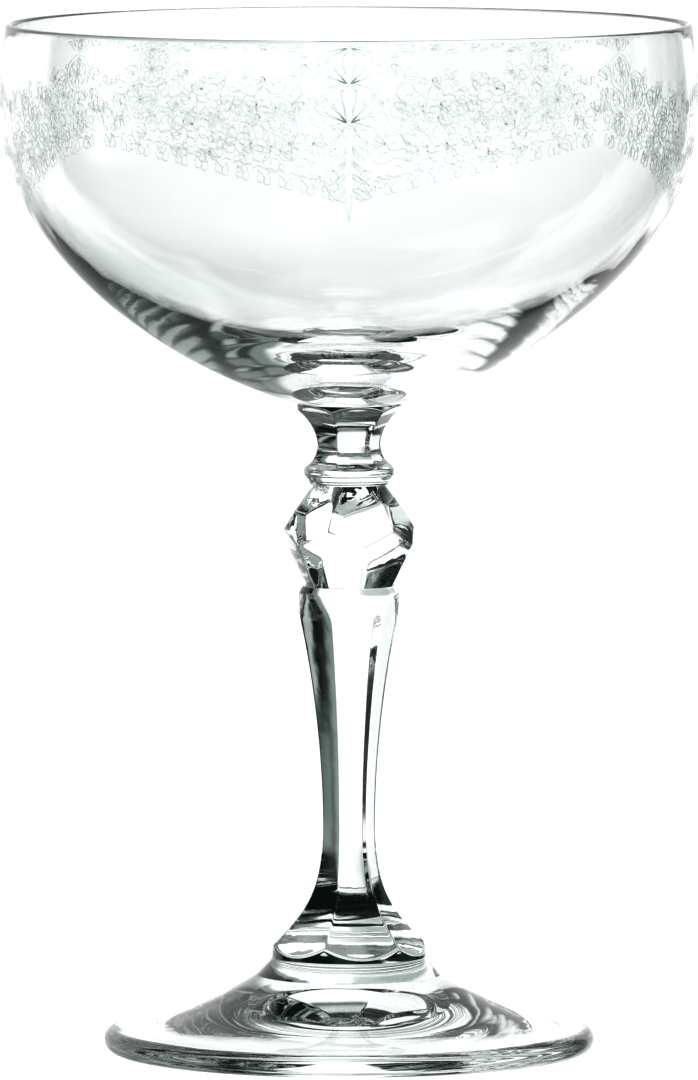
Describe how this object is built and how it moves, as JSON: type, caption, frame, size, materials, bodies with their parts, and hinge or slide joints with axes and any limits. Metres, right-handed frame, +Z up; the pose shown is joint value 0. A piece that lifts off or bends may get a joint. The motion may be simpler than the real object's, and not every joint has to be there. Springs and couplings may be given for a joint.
{
  "type": "champagne coupe glass",
  "caption": "Clear champagne coupe: a wide shallow bowl with an engraved lace band, on a cut glass stem with a faceted knop and a domed round foot.",
  "frame": {"origin": "centre of the ring that the foot stands on, at the table surface", "axes": "+Z up along the stem's axis; the glass is round, so X and Y follow the stem's facets only"},
  "size_m": [0.1, 0.1, 0.148],
  "materials": {
    "crystal_glass": "clear polished crystal, faintly green in thick parts"
  },
  "bodies": {
    "root": {"bowl": "crystal_glass", "stem_capital": "crystal_glass", "knop": "crystal_glass", "shaft": "crystal_glass", "foot_ring": "crystal_glass", "foot": "crystal_glass"}
  },
  "joints": []
}
